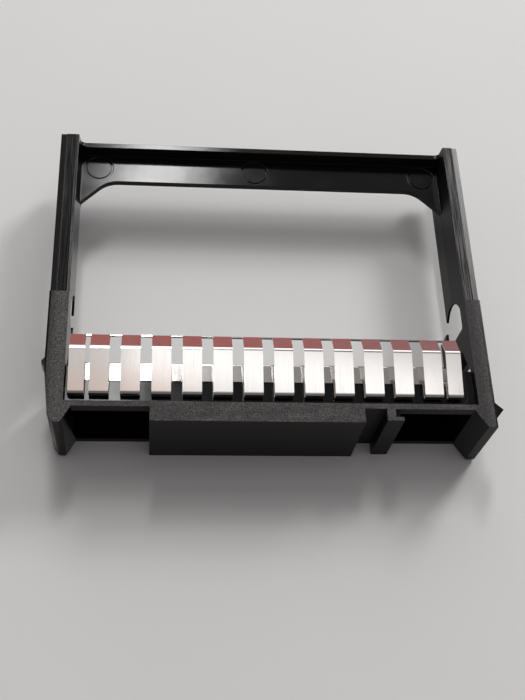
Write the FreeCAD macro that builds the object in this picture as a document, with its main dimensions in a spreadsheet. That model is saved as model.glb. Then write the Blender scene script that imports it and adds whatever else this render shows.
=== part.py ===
import FreeCAD, Part
import os
import re
import Sketcher

# A blank that fills an empty slot for a 2.5 inch drive: an open moulded frame that lies on its broad side,
# with a strip of folded spring fingers clipped over the ledge behind its front lip.
# Both pieces are drawn with x across the rails from mid width, y rearwards from the front face of the lip
# and z up from the surface that the frame lies on. All sizes are in millimetres.

SIZES = [
    # The frame as a whole
    ("body_width", 75.2, "across the outer faces of the rails"),
    ("body_height", 15.2, "underside to the top of the front half"),
    ("rail_length", 55.3, "front face of the lip to the back ends of the rails"),
    ("left_rail_width", 3.35, "left rail, across its top"),
    ("right_rail_width", 2.85, "right rail, across its top"),
    ("rail_draft", 0.5, "inner faces, the crease at mid height proud of the top edge"),
    ("left_foot_draft", 0.9, "left inner face, the crease proud of the foot of the front half"),
    ("right_foot_draft", 0.1, "right inner face, the same"),
    ("crease_drop", 5.5, "that crease, below the top"),
    ("rail_shoulder", 21.4, "where the raised front half of a rail ends"),
    ("rail_heel", 20.2, "where the full height front half ends below"),
    ("rear_rail_height", 10.0, "rail behind the shoulder, measured down from the top"),
    ("shoulder_step", 0.25, "rear half lower than the front half"),
    ("shoulder_side", 0.1, "rear half narrower than the front half"),
    ("guide_width", 1.0, "lower strip along the outer side of the rear rail's top"),
    ("guide_step", 0.15, "drop of that strip"),
    ("wall", 1.1, "general wall of the front crossbar"),
    # Front crossbar
    ("block_depth", 7.85, "front face to the back of the crossbar"),
    ("lip_depth", 1.0, "strip along the front that stands above the ledge"),
    ("ledge_drop", 1.4, "top of the lip down to the ledge"),
    ("bed_drop", 0.3, "ledge down to the bed of the spring strip"),
    ("bed_margin", 0.7, "ledge left standing between the lip and the bed"),
    ("bed_side", 0.9, "ledge left standing beside the right end of the bed"),
    ("bed_corner", 1.0, "radius of the bed's front corners"),
    ("boss_left", 20.3, "grip, left side from mid width"),
    ("boss_right", 15.3, "grip, right side from mid width"),
    ("boss_reach", 2.5, "grip, forward of the lip"),
    ("tab_start", 18.9, "hooked tab, left side from mid width"),
    ("tab_stem", 1.55, "hooked tab, thickness of its stem"),
    ("tab_length", 2.9, "hooked tab, across its foot"),
    ("tab_reach", 2.07, "hooked tab, forward of the lip"),
    ("tab_foot", 0.7, "hooked tab, thickness of its foot"),
    ("recess_floor", 1.3, "floor of the finger recesses"),
    ("recess_left_side", 0.85, "left finger recess, its outer side from the rail's inner face"),
    ("recess_right_side", 0.25, "right finger recess, its outer side from the rail's inner face"),
    ("roof_bevel", 0.8, "bevel under the lip at the mouth of the recesses"),
    # Front ends of the rails
    ("left_tip", 2.85, "left rail, forward of the lip"),
    ("left_taper", 7.0, "left rail, where its outer face starts to taper in"),
    ("nose_inset", 0.95, "left rail, outer corner of its nose from the rail's outer face"),
    ("nose_width", 2.15, "left rail, across its nose"),
    ("nose_bevel", 1.3, "left rail, length of the bevel on the nose's outer corner"),
    ("nose_slant", 1.0, "left rail, width of that bevel"),
    ("nose_round", 0.7, "radius of the nose's corners"),
    ("right_tip", 3.1, "right rail, forward of the lip"),
    ("right_tip_width", 1.6, "right rail, across its tip"),
    ("foot_bevel", 0.5, "bevel along the lower front edges of both noses"),
    # Snap nubs on the outer faces
    ("catch_out", 1.6, "right nub, proud of the rail"),
    ("catch_back", 1.9, "right nub, back end"),
    ("catch_peak", 0.4, "right nub, its peak"),
    ("catch_front", 1.4, "right nub, front end forward of the lip"),
    ("catch_drop", 0.6, "right nub, top below the top of the rail"),
    ("catch_height", 4.4, "right nub, top to bottom"),
    ("bump_out", 0.8, "left nub, proud of the rail"),
    ("bump_back", 10.2, "left nub, back end"),
    ("bump_length", 2.4, "left nub, front to back"),
    ("bump_slope", 0.85, "left nub, length of its back slope"),
    ("bump_flat", 0.5, "left nub, length of its flat"),
    ("bump_drop", 2.4, "left nub, top below the top of the rail"),
    ("bump_height", 3.0, "left nub, top to bottom"),
    # Windows in the side walls
    ("hole_ahead", 1.15, "round window, its middle ahead of the heel"),
    ("hole_drop", 6.6, "round window, its middle below the top"),
    ("hole_radius", 4.5, "round window"),
    ("slot_gap", 0.15, "front window, behind the crossbar"),
    ("post", 1.7, "wall between the two windows at its narrowest"),
    ("slot_front_drop", 1.5, "front window, front upper corner below the top"),
    ("slot_back_drop", 3.8, "front window, back upper corner below the top"),
    ("sill", 4.8, "wall left standing under the windows"),
    ("web", 0.45, "inner wall at the windows"),
    ("skin", 1.0, "outer wall at the windows"),
    ("channel_roof", 1.2, "top of the rail over the channel between those walls"),
    ("channel_past", 6.0, "channel, back end past the heel"),
    ("skirt_drop", 8.4, "lower edge of the outer wall behind the heel, below the top"),
    ("notch_drop", 6.2, "the same beside the front window"),
    # Rear bar
    ("back_wall", 1.0, "thickness of the upright wall"),
    ("back_drop", 2.2, "top of the upright wall below the top"),
    ("back_below", 2.0, "upright wall below the shelf"),
    ("back_inset", 0.4, "back face of the wall ahead of the rails' ends"),
    ("back_round", 1.2, "radius where the top of the wall meets the rails"),
    ("shelf_drop", 4.7, "shelf below the top"),
    ("shelf_thick", 1.2, "thickness of the shelf"),
    ("shelf_depth", 6.8, "shelf, front to back"),
    ("gusset", 4.8, "corner gussets, along the shelf and along the rail"),
    ("gusset_round", 5.0, "radius where a gusset leaves the shelf"),
    ("mark_across", 5.3, "round marks on the shelf, outer diameter"),
    ("mark_line", 0.4, "round marks, width of the ring"),
    ("mark_deep", 0.2, "round marks, depth of the ring"),
    ("mark_side", 3.15, "outer round marks, middle to the rails"),
    ("mark_shift", 1.3, "middle round mark, left of mid width"),
    ("mark_back", 3.9, "round marks, middle to the back face"),
    # Spring strip
    ("sheet", 0.2, "thickness of the sheet metal"),
    ("strip_left_gap", 0.1, "strip's left end to the end of the bed"),
    ("strip_right_gap", 0.9, "strip's right end to the end of the bed"),
    ("finger_count", 12, "fingers of full width"),
    ("finger_width", 3.2, "full finger"),
    ("end_finger_width", 2.6, "finger at each end"),
    ("end_finger_pitch", 3.7, "end finger to its neighbour"),
    ("band_front", 5.35, "front edge of the band that lies on the bed"),
    ("band_overhang", 0.95, "band past the back of the crossbar"),
    ("clip_height", 3.2, "clip down the back of the crossbar"),
    ("clip_bend", 0.45, "outer radius of the bend above the clip"),
    ("finger_bend", 0.75, "outer radius of the fold at the front of a finger"),
    ("finger_fold", 3.05, "middle of that fold"),
    ("ridge_back", 10.35, "ridge of a finger"),
    ("ridge_rise", 0.95, "ridge above the top of the frame"),
    ("ridge_round", 0.9, "outer radius of the bend along the ridge"),
    ("tail_back", 13.45, "back end of a finger"),
    ("tail_drop", 0.7, "back end of a finger below the top"),
    ("hem_height", 0.45, "hem that joins the back ends"),
]

RIGHT, LEFT = 1, -1


def make_sheet(doc):
    """Put each driving size in a named cell of the spreadsheet."""
    sheet = doc.addObject("Spreadsheet::Sheet", "sizes")
    for row, (alias, value, note) in enumerate(SIZES, 1):
        sheet.set(f"A{row}", alias)
        sheet.set(f"B{row}", str(value))
        sheet.set(f"C{row}", note)
        sheet.setAlias(f"B{row}", alias)
    doc.recompute()
    return sheet


def named(text):
    """Turn plain size names into references to the spreadsheet's cells."""
    return re.sub(r"\b([a-z]+_?[a-z_]*)\b(?!\()", r"sizes.\1", str(text))


def value_of(item, text):
    """Work out an expression of sizes as a number."""
    return float(item.evalExpression(named(text)))


def new_body(doc, label, x_place, y_place):
    body = doc.addObject("PartDesign::Body", label)
    body.Label = label
    body.setExpression("Placement.Base.x", named(x_place))
    body.setExpression("Placement.Base.y", named(y_place))
    return body


def sketch_on(body, name, role, offset="0"):
    """A sketch on one of the body's own planes, moved along that plane's normal."""
    sketch = body.newObject("Sketcher::SketchObject", name)
    planes = {feature.Role: feature for feature in body.Origin.OriginFeatures}
    sketch.AttachmentSupport = [(planes[role], "")]
    sketch.MapMode = "FlatFace"
    sketch.setExpression("AttachmentOffset.Base.z", named(offset))
    return sketch


def pin_point(sketch, geometry, end, x_text, y_text):
    """Hold one end of a line or arc at a place given by sizes."""
    for kind, text in (("DistanceX", x_text), ("DistanceY", y_text)):
        number = value_of(sketch, text)
        index = sketch.addConstraint(Sketcher.Constraint(kind, -1, 1, geometry, end, number))
        sketch.setExpression(f"Constraints[{index}]", named(text))


def outline(sketch, corners):
    """Draw a closed outline of straight lines, each corner held by sizes."""
    places = [FreeCAD.Vector(value_of(sketch, x), value_of(sketch, y), 0) for x, y in corners]
    first = sketch.GeometryCount
    count = len(places)
    for index, place in enumerate(places):
        sketch.addGeometry(Part.LineSegment(place, places[(index + 1) % count]))
    for index in range(count):
        following = first + (index + 1) % count
        sketch.addConstraint(Sketcher.Constraint("Coincident", first + index, 2, following, 1))
    for index, (x_text, y_text) in enumerate(corners):
        pin_point(sketch, first + index, 1, x_text, y_text)


def box_outline(sketch, x_from, x_to, y_from, y_to):
    outline(sketch, [(x_from, y_from), (x_to, y_from), (x_to, y_to), (x_from, y_to)])


def ring_line(sketch, x_text, y_text, radius_text):
    """Draw a circle, its middle and radius held by sizes."""
    middle = FreeCAD.Vector(value_of(sketch, x_text), value_of(sketch, y_text), 0)
    radius = value_of(sketch, radius_text)
    index = sketch.addGeometry(Part.Circle(middle, FreeCAD.Vector(0, 0, 1), radius))
    pin_point(sketch, index, 3, x_text, y_text)
    held = sketch.addConstraint(Sketcher.Constraint("Radius", index, radius))
    sketch.setExpression(f"Constraints[{held}]", named(radius_text))


def grow(body, sketch, length, name, reverse=False, both_ways=False):
    pad = body.newObject("PartDesign::Pad", name)
    pad.Profile = sketch
    pad.setExpression("Length", named(length))
    pad.Reversed = reverse
    pad.Midplane = both_ways
    sketch.Visibility = False
    return pad


def cut(body, sketch, depth, name, reverse=False, both_ways=False):
    pocket = body.newObject("PartDesign::Pocket", name)
    pocket.Profile = sketch
    pocket.setExpression("Length", named(depth))
    pocket.Reversed = reverse
    pocket.Midplane = both_ways
    sketch.Visibility = False
    return pocket


def dress(body, kind, name, size, wanted):
    """Fillet or chamfer the edges that the test picks on the body as it stands."""
    body.Document.recompute()
    base = body.Tip
    picked = [f"Edge{number}" for number, edge in enumerate(base.Shape.Edges, 1) if wanted(edge)]
    feature = body.newObject(f"PartDesign::{kind}", name)
    feature.Base = (base, picked)
    feature.setExpression("Radius" if kind == "Fillet" else "Size", named(size))
    body.Document.recompute()
    return feature


def upright_edge(body, places):
    """A test for upright edges that stand at any of the given places in plan."""
    spots = [(value_of(body, x), value_of(body, y)) for x, y in places]

    def wanted(edge):
        ends = [vertex.Point for vertex in edge.Vertexes]
        if len(ends) != 2 or abs(ends[0].z - ends[1].z) < 0.01:
            return False
        if (ends[0] - ends[1]).Length > abs(ends[0].z - ends[1].z) + 0.001:
            return False
        return any(abs(ends[0].x - x) < 0.01 and abs(ends[0].y - y) < 0.01 for x, y in spots)

    return wanted


OUTER = "(body_width/2)"
DEEP = "(body_width/2 - skin)"
EDGE = {LEFT: "(body_width/2 - left_rail_width)", RIGHT: "(body_width/2 - right_rail_width)"}
CREASE = {side: f"({EDGE[side]} - rail_draft)" for side in EDGE}
CREASE_LEVEL = "(body_height - crease_drop)"
FOOT_DRAFT = {LEFT: "left_foot_draft", RIGHT: "right_foot_draft"}
RECESS = {LEFT: f"({CREASE[LEFT]} - recess_left_side)", RIGHT: f"({CREASE[RIGHT]} - recess_right_side)"}
NOSE = f"({OUTER} - nose_inset)"
LEDGE = "(body_height - ledge_drop)"
BED = "(body_height - ledge_drop - bed_drop)"
BED_FRONT = "(lip_depth + bed_margin)"
BED_RIGHT = f"({CREASE[RIGHT]} - bed_side)"
REAR_TOP = "(body_height - shoulder_step)"
REAR_BOTTOM = "(body_height - rear_rail_height)"
BACK_FACE = "(rail_length - back_inset)"
HOLE = "(rail_heel - hole_ahead)"
STRIP_LEFT = f"({CREASE[LEFT]} - strip_left_gap)"
STRIP_RIGHT = f"({BED_RIGHT} - strip_right_gap)"
STRIP_LENGTH = f"({STRIP_LEFT} + {STRIP_RIGHT})"
FINGER_ROW = f"({STRIP_LENGTH} - 2*end_finger_pitch - end_finger_width)"
X_PLACE = "-(catch_out - bump_out)/2"
Y_PLACE = "-(rail_length - right_tip)/2"


def add_crossbar(body):
    """The front crossbar with its lip, still a solid block."""
    sketch = sketch_on(body, "crossbar_plan", "XY_Plane")
    box_outline(sketch, f"-{DEEP}", DEEP, "0", "block_depth")
    grow(body, sketch, LEDGE, "crossbar")
    sketch = sketch_on(body, "lip_plan", "XY_Plane")
    box_outline(sketch, f"-{DEEP}", DEEP, "0", "lip_depth")
    grow(body, sketch, "body_height", "lip")


def add_rail_fronts(body):
    """The full height front halves of the rails, with their different noses."""
    nose = [
        (f"-{NOSE}", "-left_tip + nose_bevel"),
        (f"-{NOSE} + nose_slant", "-left_tip"),
        (f"-{NOSE} + nose_width", "-left_tip"),
    ]
    sketch = sketch_on(body, "left_rail_plan", "XY_Plane")
    outline(sketch, [
        (f"-{OUTER}", "rail_shoulder"),
        (f"-{OUTER}", "left_taper"),
        *nose,
        (f"-{RECESS[LEFT]}", "0"),
        (f"-{RECESS[LEFT]}", "lip_depth"),
        (f"-{CREASE[LEFT]}", "lip_depth"),
        (f"-{CREASE[LEFT]}", "rail_shoulder"),
    ])
    grow(body, sketch, "body_height", "left_rail_front")
    sketch = sketch_on(body, "right_rail_plan", "XY_Plane")
    outline(sketch, [
        (OUTER, "rail_shoulder"),
        (OUTER, "-right_tip"),
        (f"{OUTER} - right_tip_width", "-right_tip"),
        (RECESS[RIGHT], "0"),
        (RECESS[RIGHT], "lip_depth"),
        (CREASE[RIGHT], "lip_depth"),
        (CREASE[RIGHT], "rail_shoulder"),
    ])
    grow(body, sketch, "body_height", "right_rail_front")
    dress(body, "Fillet", "left_nose_round", "nose_round", upright_edge(body, nose))

    def foot_edge(edge):
        box = edge.BoundBox
        return box.ZMax < 0.01 and box.YMax < 0.01 and box.YMin < -0.01

    dress(body, "Chamfer", "foot_bevels", "foot_bevel", foot_edge)


def lean_rail_fronts(body):
    """Lean the inner faces of the front halves back, up and down from the crease at mid height."""
    behind = sketch_on(body, "lean_section", "XZ_Plane", "-block_depth")
    above = sketch_on(body, "lean_above_ledge_section", "XZ_Plane", "-lip_depth")
    for side in (LEFT, RIGHT):
        clear = f"{side}*({CREASE[side]} - web)"
        outline(behind, [
            (f"{side}*({CREASE[side]} + {FOOT_DRAFT[side]})", "0"),
            (f"{side}*{CREASE[side]}", CREASE_LEVEL),
            (f"{side}*{EDGE[side]}", "body_height"),
            (clear, "body_height"),
            (clear, "0"),
        ])
        outline(above, [
            (f"{side}*({EDGE[side]} - rail_draft*ledge_drop/crease_drop)", LEDGE),
            (f"{side}*{EDGE[side]}", "body_height"),
            (clear, "body_height"),
            (clear, LEDGE),
        ])
    cut(body, behind, "rail_shoulder - block_depth", "lean_behind_crossbar")
    cut(body, above, "block_depth - lip_depth", "lean_above_ledge")


def add_rear_rail(body, side, name):
    """One rear half rail: its section is carried back from the shoulder."""
    sketch = sketch_on(body, f"{name}_section", "XZ_Plane", "-rail_shoulder")
    outer = f"{side}*({OUTER} - shoulder_side)"
    guide = f"{side}*({OUTER} - shoulder_side - guide_width)"
    foot_lean = f"{FOOT_DRAFT[side]}*(rear_rail_height - crease_drop)/{CREASE_LEVEL}"
    outline(sketch, [
        (f"{side}*({CREASE[side]} + {foot_lean})", REAR_BOTTOM),
        (outer, REAR_BOTTOM),
        (outer, f"{REAR_TOP} - guide_step"),
        (guide, f"{REAR_TOP} - guide_step"),
        (guide, REAR_TOP),
        (f"{side}*({EDGE[side]} - rail_draft*shoulder_step/crease_drop)", REAR_TOP),
        (f"{side}*{CREASE[side]}", CREASE_LEVEL),
    ])
    grow(body, sketch, "rail_length - rail_shoulder", name, reverse=True)


def add_rear_bar(body):
    """The rear bar: an upright wall on a shelf with gussets in its corners."""
    foot = "(body_height - shelf_drop - shelf_thick - back_below)"
    head = "(body_height - back_drop)"
    sketch = sketch_on(body, "back_wall_elevation", "XZ_Plane", f"-{BACK_FACE}")
    box_outline(sketch, f"-{DEEP}", DEEP, foot, head)
    grow(body, sketch, "back_wall", "back_wall_upright")
    level = value_of(body, head)

    def wall_end(edge):
        box = edge.BoundBox
        return abs(box.ZMin - level) + abs(box.ZMax - level) < 0.01 and box.XLength < 0.01

    dress(body, "Fillet", "back_wall_rounds", "back_round", wall_end)
    front = f"({BACK_FACE} - shelf_depth)"
    knees = [(f"-{CREASE[LEFT]} + gusset", front), (f"{CREASE[RIGHT]} - gusset", front)]
    sketch = sketch_on(body, "shelf_plan", "XY_Plane", "body_height - shelf_drop - shelf_thick")
    outline(sketch, [
        (f"-{DEEP}", BACK_FACE),
        (f"-{DEEP}", f"{front} - gusset"),
        (f"-{CREASE[LEFT]}", f"{front} - gusset"),
        *knees,
        (CREASE[RIGHT], f"{front} - gusset"),
        (DEEP, f"{front} - gusset"),
        (DEEP, BACK_FACE),
    ])
    grow(body, sketch, "shelf_thick", "shelf")
    dress(body, "Fillet", "gusset_rounds", "gusset_round", upright_edge(body, knees))
    sketch = sketch_on(body, "mark_plan", "XY_Plane", "body_height - shelf_drop")
    for across in (f"-{CREASE[LEFT]} + mark_side", "-mark_shift", f"{CREASE[RIGHT]} - mark_side"):
        ring_line(sketch, across, f"{BACK_FACE} - mark_back", "mark_across/2")
        ring_line(sketch, across, f"{BACK_FACE} - mark_back", "mark_across/2 - mark_line")
    cut(body, sketch, "mark_deep", "round_marks")


def add_front_grips(body):
    """The plain grip in the middle of the front and the hooked tab beside it."""
    sketch = sketch_on(body, "boss_plan", "XY_Plane")
    box_outline(sketch, "-boss_left", "boss_right", "-boss_reach", "lip_depth")
    grow(body, sketch, "body_height", "boss")
    sketch = sketch_on(body, "tab_plan", "XY_Plane")
    outline(sketch, [
        ("tab_start", "lip_depth"),
        ("tab_start", "-tab_reach"),
        ("tab_start + tab_length", "-tab_reach"),
        ("tab_start + tab_length", "-tab_reach + tab_foot"),
        ("tab_start + tab_stem", "-tab_reach + tab_foot"),
        ("tab_start + tab_stem", "lip_depth"),
    ])
    grow(body, sketch, "body_height", "hooked_tab")


def add_nubs(body):
    """The snap nubs: a pointed one on the right outer face and a low one on the left."""
    sketch = sketch_on(body, "catch_plan", "XY_Plane", "body_height - catch_drop - catch_height")
    outline(sketch, [
        (DEEP, "catch_back"),
        (OUTER, "catch_back"),
        (f"{OUTER} + catch_out", "catch_peak"),
        (OUTER, "-catch_front"),
        (DEEP, "-catch_front"),
    ])
    grow(body, sketch, "catch_height", "right_catch")
    sketch = sketch_on(body, "bump_plan", "XY_Plane", "body_height - bump_drop - bump_height")
    outline(sketch, [
        (f"-{DEEP}", "bump_back"),
        (f"-{OUTER}", "bump_back"),
        (f"-{OUTER} - bump_out", "bump_back - bump_slope"),
        (f"-{OUTER} - bump_out", "bump_back - bump_slope - bump_flat"),
        (f"-{OUTER}", "bump_back - bump_length"),
        (f"-{DEEP}", "bump_back - bump_length"),
    ])
    grow(body, sketch, "bump_height", "left_bump")


def hollow_crossbar(body):
    """Finger recesses at both ends of the front, and the core that hollows the middle from below."""
    roof = f"({BED} - wall)"
    inner_side = {LEFT: "boss_left", RIGHT: "(tab_start + tab_length)"}
    sketch = sketch_on(body, "recess_mouths", "XZ_Plane")
    for side in (LEFT, RIGHT):
        box_outline(sketch, f"{side}*{inner_side[side]}", f"{side}*{RECESS[side]}", "recess_floor", roof)
    cut(body, sketch, "block_depth - wall", "finger_recesses")
    level = value_of(body, roof)

    def mouth_edge(edge):
        ends = [vertex.Point for vertex in edge.Vertexes]
        return len(ends) == 2 and all(abs(end.z - level) < 0.01 and abs(end.y) < 0.01 for end in ends)

    dress(body, "Chamfer", "mouth_bevels", "roof_bevel", mouth_edge)
    sketch = sketch_on(body, "core_plan", "XY_Plane")
    outline(sketch, [
        ("-boss_left + wall", "-boss_reach + wall"),
        ("boss_right - wall", "-boss_reach + wall"),
        ("boss_right - wall", "wall"),
        ("tab_start + tab_length - wall", "wall"),
        ("tab_start + tab_length - wall", "block_depth - wall"),
        ("-boss_left + wall", "block_depth - wall"),
    ])
    cut(body, sketch, roof, "underside_core", reverse=True)


def cut_bed(body):
    """The shallow bed that the spring strip lies in, open at the back."""
    corners = [(f"-{CREASE[LEFT]}", BED_FRONT), (BED_RIGHT, BED_FRONT)]
    sketch = sketch_on(body, "bed_plan", "XY_Plane", LEDGE)
    box_outline(sketch, f"-{CREASE[LEFT]}", BED_RIGHT, BED_FRONT, "block_depth")
    cut(body, sketch, "bed_drop", "strip_bed")
    dress(body, "Fillet", "bed_corners", "bed_corner", upright_edge(body, corners))


def cut_side_windows(body):
    """A channel in the front half of each rail, open below, with a round and a slanted window into it."""
    slot_front = "(block_depth + slot_gap)"
    slot_back = f"({HOLE} - hole_radius - post)"
    channel_back = "rail_heel + channel_past"
    roof = "(body_height - channel_roof)"
    channels = sketch_on(body, "channel_section", "XZ_Plane", f"-{slot_front}")
    skirts = sketch_on(body, "skirt_plan", "XY_Plane")
    notches = sketch_on(body, "notch_plan", "XY_Plane")
    for side in (LEFT, RIGHT):
        deep = f"{side}*{DEEP}"
        clear = f"{side}*({OUTER} + skin)"
        outline(channels, [
            (f"{side}*({CREASE[side]} + {FOOT_DRAFT[side]} + web)", "0"),
            (f"{side}*({CREASE[side]} + web)", CREASE_LEVEL),
            (f"{side}*({EDGE[side]} - rail_draft*channel_roof/crease_drop + web)", roof),
            (deep, roof),
            (deep, "0"),
        ])
        box_outline(skirts, deep, clear, "rail_heel", channel_back)
        box_outline(notches, deep, clear, slot_front, slot_back)
    cut(body, channels, f"{channel_back} - {slot_front}", "rail_channels")
    cut(body, skirts, "body_height - skirt_drop", "skirt_edges", reverse=True)
    cut(body, notches, "body_height - notch_drop", "skirt_notches", reverse=True)
    sketch = sketch_on(body, "slot_elevation", "YZ_Plane")
    outline(sketch, [
        (slot_front, "sill"),
        (slot_back, "sill"),
        (slot_back, "body_height - slot_back_drop"),
        (slot_front, "body_height - slot_front_drop"),
    ])
    cut(body, sketch, f"2*{DEEP}", "slanted_windows", both_ways=True)
    sketch = sketch_on(body, "hole_elevation", "YZ_Plane")
    ring_line(sketch, HOLE, "body_height - hole_drop", "hole_radius")
    cut(body, sketch, f"2*{DEEP}", "round_windows", both_ways=True)
    sketch = sketch_on(body, "heel_elevation", "YZ_Plane")
    box_outline(sketch, "rail_heel", "rail_shoulder", "0", REAR_BOTTOM)
    cut(body, sketch, f"2*({OUTER} + skin)", "heels", both_ways=True)


def build_frame(doc):
    body = new_body(doc, "blank_frame", X_PLACE, Y_PLACE)
    add_crossbar(body)
    add_rail_fronts(body)
    lean_rail_fronts(body)
    add_rear_rail(body, RIGHT, "right_rear_rail")
    add_rear_rail(body, LEFT, "left_rear_rail")
    add_rear_bar(body)
    add_front_grips(body)
    add_nubs(body)
    hollow_crossbar(body)
    cut_bed(body)
    cut_side_windows(body)
    return body


def finger_path(body, name, x_text):
    """Outer face of one folded finger, seen from the side: leg, fold, rise to the ridge, slope to the tail."""
    sketch = sketch_on(body, name, "YZ_Plane", x_text)
    bed = value_of(sketch, BED)
    fold = value_of(sketch, "finger_fold")
    radius = value_of(sketch, "finger_bend")
    start = FreeCAD.Vector(value_of(sketch, "band_front + sheet"), bed, 0)
    low = FreeCAD.Vector(fold, bed, 0)
    high = FreeCAD.Vector(fold, bed + 2*radius, 0)
    ridge = FreeCAD.Vector(value_of(sketch, "ridge_back"), value_of(sketch, "body_height + ridge_rise"), 0)
    tail = FreeCAD.Vector(value_of(sketch, "tail_back"), value_of(sketch, "body_height - tail_drop"), 0)
    circle = Part.Circle(FreeCAD.Vector(fold, bed + radius, 0), FreeCAD.Vector(0, 0, 1), radius)
    quarter = FreeCAD.Units.Quantity("90 deg").getValueAs("rad").Value
    leg = sketch.addGeometry(Part.LineSegment(start, low))
    bend = sketch.addGeometry(Part.ArcOfCircle(circle, quarter, 3*quarter))
    rise = sketch.addGeometry(Part.LineSegment(high, ridge))
    slope = sketch.addGeometry(Part.LineSegment(ridge, tail))
    sketch.addConstraint(Sketcher.Constraint("Tangent", leg, 2, bend, 2))
    sketch.addConstraint(Sketcher.Constraint("Tangent", rise, 1, bend, 1))
    sketch.addConstraint(Sketcher.Constraint("Coincident", rise, 2, slope, 1))
    held = sketch.addConstraint(Sketcher.Constraint("Radius", bend, radius))
    sketch.setExpression(f"Constraints[{held}]", named("finger_bend"))
    pin_point(sketch, leg, 1, "band_front + sheet", BED)
    pin_point(sketch, leg, 2, "finger_fold", BED)
    pin_point(sketch, rise, 2, "ridge_back", "body_height + ridge_rise")
    pin_point(sketch, slope, 2, "tail_back", "body_height - tail_drop")
    return sketch


def add_finger(body, name, x_text, width):
    """One folded finger: its section, as wide as the finger, follows the path."""
    path = finger_path(body, f"{name}_path", x_text)
    section = sketch_on(body, f"{name}_section", "XZ_Plane", "-(band_front + sheet)")
    box_outline(section, f"{x_text} - {width}/2", f"{x_text} + {width}/2", BED, f"{BED} + sheet")
    body.Document.recompute()
    pipe = body.newObject("PartDesign::AdditivePipe", name)
    pipe.Profile = section
    pipe.Spine = (path, [])
    pipe.Transition = "Right corner"
    section.Visibility = False
    path.Visibility = False
    return pipe


def build_strip(doc):
    body = new_body(doc, "grounding_spring_strip", f"{X_PLACE} + ({STRIP_RIGHT} - {STRIP_LEFT})/2", Y_PLACE)
    sketch = sketch_on(body, "band_section", "YZ_Plane")
    back = "(block_depth + band_overhang)"
    clip_foot = f"({BED} - clip_height)"
    clip_knee = f"({BED} - clip_bend - sheet)"
    outline(sketch, [
        ("band_front", BED),
        (f"{back} - sheet", BED),
        (f"{back} - sheet", clip_knee),
        ("block_depth", clip_foot),
        ("block_depth + sheet", clip_foot),
        (back, clip_knee),
        (back, f"{BED} + sheet"),
        ("band_front", f"{BED} + sheet"),
    ])
    grow(body, sketch, STRIP_LENGTH, "band_and_clip", both_ways=True)
    reach = value_of(body, back)
    crest = value_of(body, f"{BED} + sheet")

    def bend_edge(edge):
        ends = [vertex.Point for vertex in edge.Vertexes]
        return all(abs(end.y - reach) < 0.01 and abs(end.z - crest) < 0.01 for end in ends)

    dress(body, "Fillet", "clip_bend_round", "clip_bend", bend_edge)
    first = f"(-{FINGER_ROW}/2)"
    finger = add_finger(body, "finger", first, "finger_width")
    doc.recompute()
    fingers = body.newObject("PartDesign::LinearPattern", "full_fingers")
    axes = {feature.Role: feature for feature in body.Origin.OriginFeatures}
    fingers.Originals = [finger]
    fingers.Direction = (axes["X_Axis"], [""])
    fingers.setExpression("Length", named(FINGER_ROW))
    fingers.setExpression("Occurrences", named("finger_count"))
    body.Tip = fingers
    add_finger(body, "left_end_finger", f"({first} - end_finger_pitch)", "end_finger_width")
    add_finger(body, "right_end_finger", f"(end_finger_pitch - {first})", "end_finger_width")
    sketch = sketch_on(body, "hem_section", "YZ_Plane")
    tail = "(body_height - tail_drop)"
    box_outline(sketch, "tail_back - sheet", "tail_back", f"{tail} - hem_height", tail)
    grow(body, sketch, STRIP_LENGTH, "hem", both_ways=True)
    crest = value_of(body, "body_height + ridge_rise")

    def ridge_edge(edge):
        box = edge.BoundBox
        return box.YLength + box.ZLength < 0.01 and abs(box.ZMax - crest) < 0.01

    dress(body, "Fillet", "ridge_rounds", "ridge_round", ridge_edge)
    return body


def check_document(doc, bodies):
    """Stop before anything is written if a feature failed or a piece is not one sound solid."""
    for item in doc.Objects:
        if "Invalid" in item.State or "Error" in item.State:
            raise RuntimeError(f"{item.Label} failed: {item.State}")
    for body in bodies:
        shape = body.Shape
        if shape.isNull() or not shape.isValid() or len(shape.Solids) != 1:
            raise RuntimeError(f"{body.Label} is not one sound solid")


def main():
    doc = FreeCAD.newDocument("drive_blank_filler")
    make_sheet(doc)
    bodies = [build_frame(doc), build_strip(doc)]
    doc.recompute()
    check_document(doc, bodies)
    os.makedirs("parts", exist_ok=True)
    for body in bodies:
        body.Shape.exportStep(f"parts/{body.Label}.step")
        box = body.Shape.BoundBox
        print(body.Label, round(body.Shape.Volume, 2), "mm3", [round(v, 2) for v in (
            box.XMin, box.YMin, box.ZMin, box.XMax, box.YMax, box.ZMax)])


main()
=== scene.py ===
import math
from types import SimpleNamespace

import bpy
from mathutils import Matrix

# The dressed model of a drive blank filler: a black moulded frame and a strip of bright spring fingers.
# Lengths are in metres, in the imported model's own frame, and angles in degrees; MM is one millimetre.

MM = 0.001

# Camera, fitted to the photograph of 525 by 700 pixels; its lens and sensor are in millimetres
CAMERA_AT = (-19.599 * MM, -94.742 * MM, 168.432 * MM)
CAMERA_TURN = (27.401, -5.634, -1.846)
CAMERA_LENS = 52.82
CAMERA_SENSOR = 36.0
CAMERA_NEAR = 10 * MM

# Heights that part the frame's tops: the rear rails with their lower outer strips start at the first, the
# rear rails without those strips at the second, and the grained front half at the third
RAIL_LEVEL = (14.6 * MM, 14.7 * MM)
INNER_LEVEL = (14.83 * MM, 14.92 * MM)
GRAIN_LEVEL = (15.03 * MM, 15.13 * MM)

# How far a face has to look up, to the front or to the left to get a finish of its own
FACING_UP = (0.75, 0.9)
FACING_FRONT = (0.5, 0.8)
FACING_LEFT = (0.8, 0.95)

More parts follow.
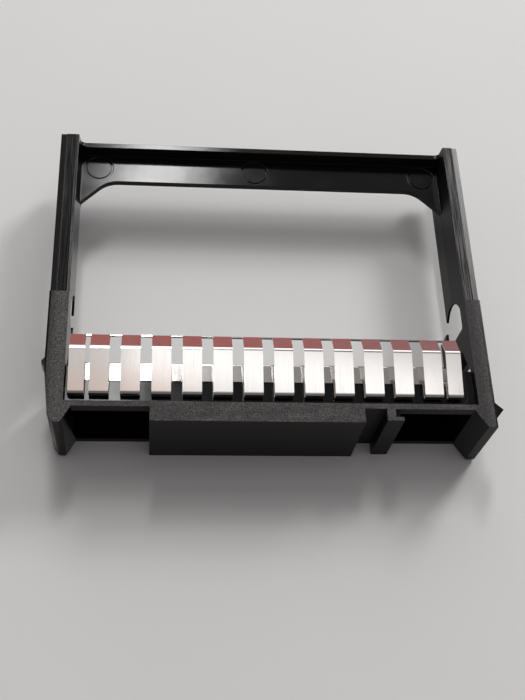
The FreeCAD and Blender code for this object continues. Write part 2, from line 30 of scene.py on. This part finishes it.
# Distances to both sides of the frame's middle plane: the low crown along each rear rail, which falls again
# by a share of its height at the outer side, and the smooth rim outside the grain
MIDDLE = -0.4 * MM
CROWN_INNER = (34.7 * MM, 36.4 * MM)
CROWN_OUTER = (36.6 * MM, 37.6 * MM)
CROWN_HEIGHT = 0.22 * MM
OUTER_SHARE = 0.6
RIM_AT = (37.22 * MM, 37.38 * MM)

# Rear rails: rougher from the left one to the right one, their streaks lighter rightwards as a painted sheen;
# front rails: each top lighter towards its right half as painted shading; between the rails the grain is
# smudged
SCUFF_AND_SHEEN_SPAN = (-30 * MM, 30 * MM)
RAIL_FROM = (33.7 * MM, 34.1 * MM)
RAIL_CENTRE = 36.6 * MM
RAIL_SHADE_SPAN = (-1.0 * MM, 1.2 * MM)

# The rounding of the frame's sharp edges, and the gap across which its faces are joined first
SOFT_EDGE = 0.07 * MM
SOFT_STEPS = 2
SHARP_ANGLE = 35
JOIN_GAP = 0.001 * MM

# Colours of the surfaces, linear
SMOOTH = (0.0055, 0.0053, 0.0058, 1)
GRAIN_DARK = (0.012, 0.011, 0.011, 1)
GRAIN_DULL = (0.066, 0.059, 0.059, 1)
GRAIN_LIGHT = (0.158, 0.142, 0.142, 1)
# The rear rails' streaks, the right rail's far lighter than the left's as a painted sheen
STREAK_LEFT = (0.016, 0.0142, 0.0153, 1)
STREAK_RIGHT = (0.150, 0.135, 0.146, 1)
OUTER_STRIP = (0.012, 0.0113, 0.0127, 1)
STEEL = (0.78, 0.755, 0.735, 1)
FLOOR = (0.85, 0.845, 0.835, 1)
FLOOR_SHADE = 0.97

# Roughness of the surfaces, with low and high ends in pairs; the two named ROUGHER are factors on the scuffs
GLOSS = (0.09, 0.14)
LEFT_ROUGH = 0.46
FRONT_ROUGH = 0.55
GRAIN_ROUGH = 0.48
SCUFF_ROUGH = (0.10, 0.23)
OUTER_ROUGHER = 1.25
STREAK_ROUGHER = (0.75, 1.45)
STEEL_ROUGH = (0.09, 0.15)
CLOUD_ROUGH = 0.13
FLOOR_ROUGH = 0.7
CARD_ROUGH = 0.9
PLASTIC_SPECULAR = 0.32

# Sizes of the surface patterns and the depths of their bumps
SPECK = 0.17 * MM
SPECK_DEPTH = 0.15 * MM
SMUDGE_WIDTH = 1.3 * MM
SMUDGE_LENGTH = 5 * MM
STREAK_WIDTH = 0.17 * MM
STREAK_LENGTH = 10 * MM
STREAK_DEPTH = 0.0015 * MM
WAVE = 7 * MM
WAVE_DEPTH = 0.02 * MM
CLOUD_DEPTH = 0.008 * MM
LINE_WIDTH = 0.12 * MM
LINE_LENGTH = 6 * MM
LINE_DEPTH = 0.0004 * MM
FLOOR_CLOUD = 30 * MM
FINE_DETAIL = 3

# The stretch of a pattern's values over which a finish changes
PATTERN_RANGE = (0.3, 0.7)
SPECK_RANGE = (0.36, 0.66)
STREAK_RANGE = (0.5, 0.64)
SCUFF_RANGE = (0.35, 0.7)

# The floor, and a hidden card low behind the part; the card's span is in shares of its width from its middle
FLOOR_WIDTH = 4.0
CARD_AT = (0.03, 0.24, 0.03)
CARD_SIZE = (0.3, 0.06)
CARD_LEFT = (0.95, 0.29, 0.27, 1)
CARD_RIGHT = (0.66, 0.34, 0.37, 1)
CARD_SPAN = (-0.1, 0.34)
CARD_GLOW = 0.045

# The dim room around the part, from its front to its rear and from its horizon upwards
SKY_FRONT = (0.15, 0.15, 0.155, 1)
SKY_REAR = (0.24, 0.23, 0.23, 1)
SKY_DEPTH = (-0.4, 0.4)
SKY_RISE = (0.0, 0.5)
SKY_STRENGTH = (0.35, 1.0)

# Soft panels: name, place, size, brightness, turn, lean from facing down and colour; a brightness of 1 is
# white. The key lights the part from behind on the right, and the glossy surfaces mirror the others.
WHITE = (1, 1, 1)
WARM = (1.0, 0.72, 0.58)
PANELS = (
    ("key", (0.66, 0.78, 0.785), (0.28, 0.36), 17, -40, 52, WHITE),
    ("rear_strip", (0.25, 1.5, 0.85), (1.8, 0.95), 1.45, 0, 60, WHITE),
    ("window", (-0.046, 0.49, 0.785), (0.06, 0.40), 15, -9.6, 0, WHITE),
    ("window_glow", (-0.028, 0.57, 0.80), (0.115, 0.24), 12, -9.6, 0, WHITE),
    ("overhead", (0.18, 0.0, 0.80), (0.34, 0.46), 0.48, 0, 0, WHITE),
    ("overhead_left", (-0.07, 0.16, 0.80), (0.16, 0.14), 0.48, 0, 0, WHITE),
    ("warm_side", (-0.07, -0.07, 0.80), (0.16, 0.32), 0.52, 0, 0, WARM),
    ("long_lamp", (0.107, 0.092, 0.785), (0.31, 0.052), 0.88, -9, 0, WHITE),
)


def new_material(name):
    """A material, its node tree and its shader."""
    material = bpy.data.materials.new(name)
    material.use_nodes = True
    tree = material.node_tree
    return material, tree, tree.nodes["Principled BSDF"]


def add_node(tree, kind, **settings):
    node = tree.nodes.new(kind)
    for key, value in settings.items():
        setattr(node, key, value)
    return node


def feed(tree, socket, value):
    """Link a node's output to a socket, or set the socket to a constant."""
    if isinstance(value, bpy.types.NodeSocket):
        tree.links.new(value, socket)
    else:
        socket.default_value = value


def noise(tree, place, size, detail=2):
    """A noise pattern; size gives the width of its features along each axis."""
    mapping = add_node(tree, "ShaderNodeMapping")
    mapping.inputs["Scale"].default_value = [1 / part for part in size]
    tree.links.new(place, mapping.inputs["Vector"])
    node = add_node(tree, "ShaderNodeTexNoise")
    node.inputs["Scale"].default_value = 1.0
    node.inputs["Detail"].default_value = detail
    tree.links.new(mapping.outputs["Vector"], node.inputs["Vector"])
    return node.outputs["Fac"]


def spread(tree, value, span, low=0.0, high=1.0):
    """Map the part of a value's range inside span on to low to high, and hold it beyond."""
    node = add_node(tree, "ShaderNodeMapRange")
    node.inputs["From Min"].default_value = span[0]
    node.inputs["From Max"].default_value = span[1]
    node.inputs["To Min"].default_value = low
    node.inputs["To Max"].default_value = high
    tree.links.new(value, node.inputs["Value"])
    return node.outputs["Result"]


def calculate(tree, operation, first, second=0.0):
    node = add_node(tree, "ShaderNodeMath", operation=operation)
    feed(tree, node.inputs[0], first)
    feed(tree, node.inputs[1], second)
    return node.outputs[0]


def times(tree, first, second):
    return calculate(tree, "MULTIPLY", first, second)


# The mix node has sockets of the same names for each kind of value, so the next two reach them by number

def blend(tree, factor, first, second):
    """Go from the first number to the second as the factor rises."""
    node = add_node(tree, "ShaderNodeMix", data_type="FLOAT")
    feed(tree, node.inputs[0], factor)
    feed(tree, node.inputs[2], first)
    feed(tree, node.inputs[3], second)
    return node.outputs[0]


def blend_colours(tree, factor, first, second):
    node = add_node(tree, "ShaderNodeMix", data_type="RGBA")
    feed(tree, node.inputs[0], factor)
    feed(tree, node.inputs[6], first)
    feed(tree, node.inputs[7], second)
    return node.outputs[2]


def bump(tree, height, depth, under=None):
    """Raise the surface by a pattern, on top of another bump where one is given."""
    node = add_node(tree, "ShaderNodeBump")
    node.inputs["Distance"].default_value = depth
    tree.links.new(height, node.inputs["Height"])
    if under:
        tree.links.new(under, node.inputs["Normal"])
    return node.outputs["Normal"]


def parts_of(tree, vector):
    node = add_node(tree, "ShaderNodeSeparateXYZ")
    tree.links.new(vector, node.inputs[0])
    return node.outputs["X"], node.outputs["Y"], node.outputs["Z"]


def plastic_zones(tree, place):
    """Where each finish of the frame lies, as factors from 0 to 1, with the distances that wear and painted
    shading go by.
    """
    across, _, height = parts_of(tree, place)
    normal = add_node(tree, "ShaderNodeNewGeometry").outputs["Normal"]
    facing_x, facing_y, facing_z = parts_of(tree, normal)
    up = spread(tree, facing_z, FACING_UP)
    off_middle = calculate(tree, "ABSOLUTE", calculate(tree, "SUBTRACT", across, MIDDLE))
    inside_rim = spread(tree, off_middle, RIM_AT, 1.0, 0.0)
    return SimpleNamespace(
        across=across,
        off_middle=off_middle,
        grained=times(tree, inside_rim, times(tree, up, spread(tree, height, GRAIN_LEVEL))),
        streaked=times(tree, up, spread(tree, height, RAIL_LEVEL)),
        outer=spread(tree, height, INNER_LEVEL, 1.0, 0.0),
        front=spread(tree, times(tree, facing_y, -1.0), FACING_FRONT),
        left=spread(tree, times(tree, facing_x, -1.0), FACING_LEFT),
    )


def plastic_patterns(tree, place):
    return SimpleNamespace(
        specks=noise(tree, place, (SPECK, SPECK, SPECK), FINE_DETAIL),
        streaks=noise(tree, place, (STREAK_WIDTH, STREAK_LENGTH, STREAK_WIDTH), FINE_DETAIL),
        waves=noise(tree, place, (WAVE, WAVE, WAVE)),
        smudges=noise(tree, place, (SMUDGE_LENGTH, SMUDGE_WIDTH, SMUDGE_WIDTH)),
    )


def plastic_colour(tree, zones, patterns):
    """Specks on the grained tops, lighter where smudged and as painted shading on the front rails' right
    halves; scratches on the rear rails, lighter to the right as a painted sheen; plain black elsewhere.
    """
    off_rail = calculate(tree, "SUBTRACT", zones.off_middle, RAIL_CENTRE)
    to_right = times(tree, calculate(tree, "SIGN", zones.across), off_rail)
    smudged = spread(tree, patterns.smudges, PATTERN_RANGE)
    on_rail = spread(tree, zones.off_middle, RAIL_FROM)
    # Painted shading: on the front rails the grain top gets lighter towards each rail's right half; between
    # the rails it follows the smudges
    smudge_and_rail_shade = blend(tree, on_rail, smudged, spread(tree, to_right, RAIL_SHADE_SPAN))
    grain_top = blend_colours(tree, smudge_and_rail_shade, GRAIN_DULL, GRAIN_LIGHT)
    grain = blend_colours(tree, spread(tree, patterns.specks, SPECK_RANGE), GRAIN_DARK, grain_top)
    rail = blend_colours(tree, zones.outer, SMOOTH, OUTER_STRIP)
    # Painted sheen: the rear rails' streaks run from dark on the left rail to light on the right one
    streak_tone_and_sheen = blend_colours(tree, spread(tree, zones.across, SCUFF_AND_SHEEN_SPAN), STREAK_LEFT, STREAK_RIGHT)
    rail_streaks_and_sheen = blend_colours(tree, spread(tree, patterns.streaks, STREAK_RANGE), rail, streak_tone_and_sheen)
    plain = blend_colours(tree, zones.streaked, SMOOTH, rail_streaks_and_sheen)
    return blend_colours(tree, zones.grained, plain, grain)


def plastic_roughness(tree, zones, patterns):
    """Gloss inside, dull fronts and left faces, scuffs along the rear rails and an even grain."""
    gloss = spread(tree, patterns.waves, PATTERN_RANGE, *GLOSS)
    plain = blend(tree, zones.front, blend(tree, zones.left, gloss, LEFT_ROUGH), FRONT_ROUGH)
    scuffed = spread(tree, zones.across, SCUFF_AND_SHEEN_SPAN, *SCUFF_ROUGH)
    scuffed = times(tree, scuffed, blend(tree, zones.outer, 1.0, OUTER_ROUGHER))
    scuffed = times(tree, scuffed, spread(tree, patterns.streaks, SCUFF_RANGE, *STREAK_ROUGHER))
    return blend(tree, zones.grained, blend(tree, zones.streaked, plain, scuffed), GRAIN_ROUGH)


def plastic_normal(tree, zones, patterns):
    """Slow waves all over, the crown and the streaks of the rear rails, and the grain."""
    rise = spread(tree, zones.off_middle, CROWN_INNER)
    fall = spread(tree, zones.off_middle, CROWN_OUTER, 0.0, OUTER_SHARE)
    crown = times(tree, zones.streaked, calculate(tree, "SUBTRACT", rise, fall))
    normal = bump(tree, patterns.waves, WAVE_DEPTH)
    normal = bump(tree, crown, CROWN_HEIGHT, normal)
    normal = bump(tree, times(tree, patterns.streaks, zones.streaked), STREAK_DEPTH, normal)
    return bump(tree, times(tree, patterns.specks, zones.grained), SPECK_DEPTH, normal)


def plastic_material():
    """Black moulded plastic: spark grain on the front half's top, streaks on the rear rails, gloss inside."""
    material, tree, shader = new_material("black_plastic_moulded")
    place = add_node(tree, "ShaderNodeTexCoord").outputs["Object"]
    zones = plastic_zones(tree, place)
    patterns = plastic_patterns(tree, place)
    tree.links.new(plastic_colour(tree, zones, patterns), shader.inputs["Base Color"])
    tree.links.new(plastic_roughness(tree, zones, patterns), shader.inputs["Roughness"])
    tree.links.new(plastic_normal(tree, zones, patterns), shader.inputs["Normal"])
    shader.inputs["Specular IOR Level"].default_value = PLASTIC_SPECULAR
    return material


def steel_material():
    """Bright rolled spring steel with very fine lines along the fingers."""
    material, tree, shader = new_material("spring_steel_rolled")
    place = add_node(tree, "ShaderNodeTexCoord").outputs["Object"]
    lines = noise(tree, place, (LINE_WIDTH, LINE_LENGTH, LINE_LENGTH))
    cloud = noise(tree, place, (WAVE, WAVE, WAVE), FINE_DETAIL)
    rough = blend(tree, cloud, spread(tree, lines, PATTERN_RANGE, *STEEL_ROUGH), CLOUD_ROUGH)
    normal = bump(tree, lines, LINE_DEPTH, bump(tree, cloud, CLOUD_DEPTH))
    shader.inputs["Base Color"].default_value = STEEL
    shader.inputs["Metallic"].default_value = 1.0
    tree.links.new(rough, shader.inputs["Roughness"])
    tree.links.new(normal, shader.inputs["Normal"])
    return material


def dress_node(node, material):
    node.data.materials.clear()
    node.data.materials.append(material)


def soften_edges(node):
    """Join the solid's faces and round the sharp edges between them a little."""
    node.modifiers.new("joined_faces", "WELD").merge_threshold = JOIN_GAP
    soft = node.modifiers.new("soft_edges", "BEVEL")
    soft.width = SOFT_EDGE
    soft.segments = SOFT_STEPS
    soft.limit_method = "ANGLE"
    soft.angle_limit = math.radians(SHARP_ANGLE)
    soft.use_clamp_overlap = False
    soft.harden_normals = True


def add_floor():
    bpy.ops.mesh.primitive_plane_add(size=FLOOR_WIDTH)
    floor = bpy.context.object
    floor.name = "floor"
    material, tree, shader = new_material("pale_floor")
    place = add_node(tree, "ShaderNodeTexCoord").outputs["Object"]
    shade = tuple(FLOOR_SHADE * part for part in FLOOR[:3]) + (1,)
    cloud = noise(tree, place, (FLOOR_CLOUD, FLOOR_CLOUD, FLOOR_CLOUD))
    tree.links.new(blend_colours(tree, cloud, shade, FLOOR), shader.inputs["Base Color"])
    shader.inputs["Roughness"].default_value = FLOOR_ROUGH
    floor.data.materials.append(material)


def add_rear_card():
    """A low dusky board behind the part, out of every picture, that the backs of the fingers mirror."""
    upright = (math.radians(90), 0, 0)
    bpy.ops.mesh.primitive_plane_add(size=1.0, location=CARD_AT, rotation=upright)
    card = bpy.context.object
    card.name = "rear_card"
    card.scale = (*CARD_SIZE, 1)
    material, tree, shader = new_material("dusky_card")
    across = parts_of(tree, add_node(tree, "ShaderNodeTexCoord").outputs["Object"])[0]
    colour = blend_colours(tree, spread(tree, across, CARD_SPAN), CARD_LEFT, CARD_RIGHT)
    tree.links.new(colour, shader.inputs["Base Color"])
    tree.links.new(colour, shader.inputs["Emission Color"])
    shader.inputs["Roughness"].default_value = CARD_ROUGH
    shader.inputs["Emission Strength"].default_value = CARD_GLOW
    card.data.materials.append(material)
    card.visible_camera = False
    card.visible_diffuse = False
    card.visible_shadow = False


def add_room():
    """A dim room as the world, a little lighter at the rear and darker towards the horizon."""
    world = bpy.data.worlds.new("studio")
    bpy.context.scene.world = world
    world.use_nodes = True
    tree = world.node_tree
    _, to_rear, upwards = parts_of(tree, add_node(tree, "ShaderNodeTexCoord").outputs["Generated"])
    sky = blend_colours(tree, spread(tree, to_rear, SKY_DEPTH), SKY_FRONT, SKY_REAR)
    background = tree.nodes["Background"]
    tree.links.new(sky, background.inputs["Color"])
    tree.links.new(spread(tree, upwards, SKY_RISE, *SKY_STRENGTH), background.inputs["Strength"])


def add_panel(name, place, size, brightness, turn, lean, colour):
    """A soft panel that glows evenly and faces down, or leans."""
    lamp = bpy.data.lights.new(name, "AREA")
    lamp.shape = "RECTANGLE"
    lamp.size, lamp.size_y = size
    lamp.energy = brightness * math.pi * size[0] * size[1]
    lamp.color = colour
    panel = bpy.data.objects.new(name, lamp)
    panel.location = place
    panel.rotation_euler = (math.radians(-lean), 0, math.radians(turn))
    panel.visible_camera = False
    bpy.context.scene.collection.objects.link(panel)


def add_camera():
    lens = bpy.data.cameras.new("camera")
    lens.lens = CAMERA_LENS
    lens.sensor_fit = "AUTO"
    lens.sensor_width = CAMERA_SENSOR
    lens.clip_start = CAMERA_NEAR
    camera = bpy.data.objects.new("camera", lens)
    camera.location = CAMERA_AT
    camera.rotation_euler = [math.radians(turn) for turn in CAMERA_TURN]
    bpy.context.scene.collection.objects.link(camera)
    bpy.context.scene.camera = camera


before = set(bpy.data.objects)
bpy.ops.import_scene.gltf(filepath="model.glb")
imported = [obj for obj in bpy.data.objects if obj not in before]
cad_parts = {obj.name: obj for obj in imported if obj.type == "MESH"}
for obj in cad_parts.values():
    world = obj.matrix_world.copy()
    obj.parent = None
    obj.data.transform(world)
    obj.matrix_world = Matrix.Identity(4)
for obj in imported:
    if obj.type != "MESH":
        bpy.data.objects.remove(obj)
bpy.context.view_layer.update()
bpy.context.scene.view_settings.view_transform = "Standard"
dress_node(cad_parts["blank_frame"], plastic_material())
dress_node(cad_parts["grounding_spring_strip"], steel_material())
soften_edges(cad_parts["blank_frame"])
add_floor()
add_rear_card()
add_room()
for panel_values in PANELS:
    add_panel(*panel_values)
add_camera()
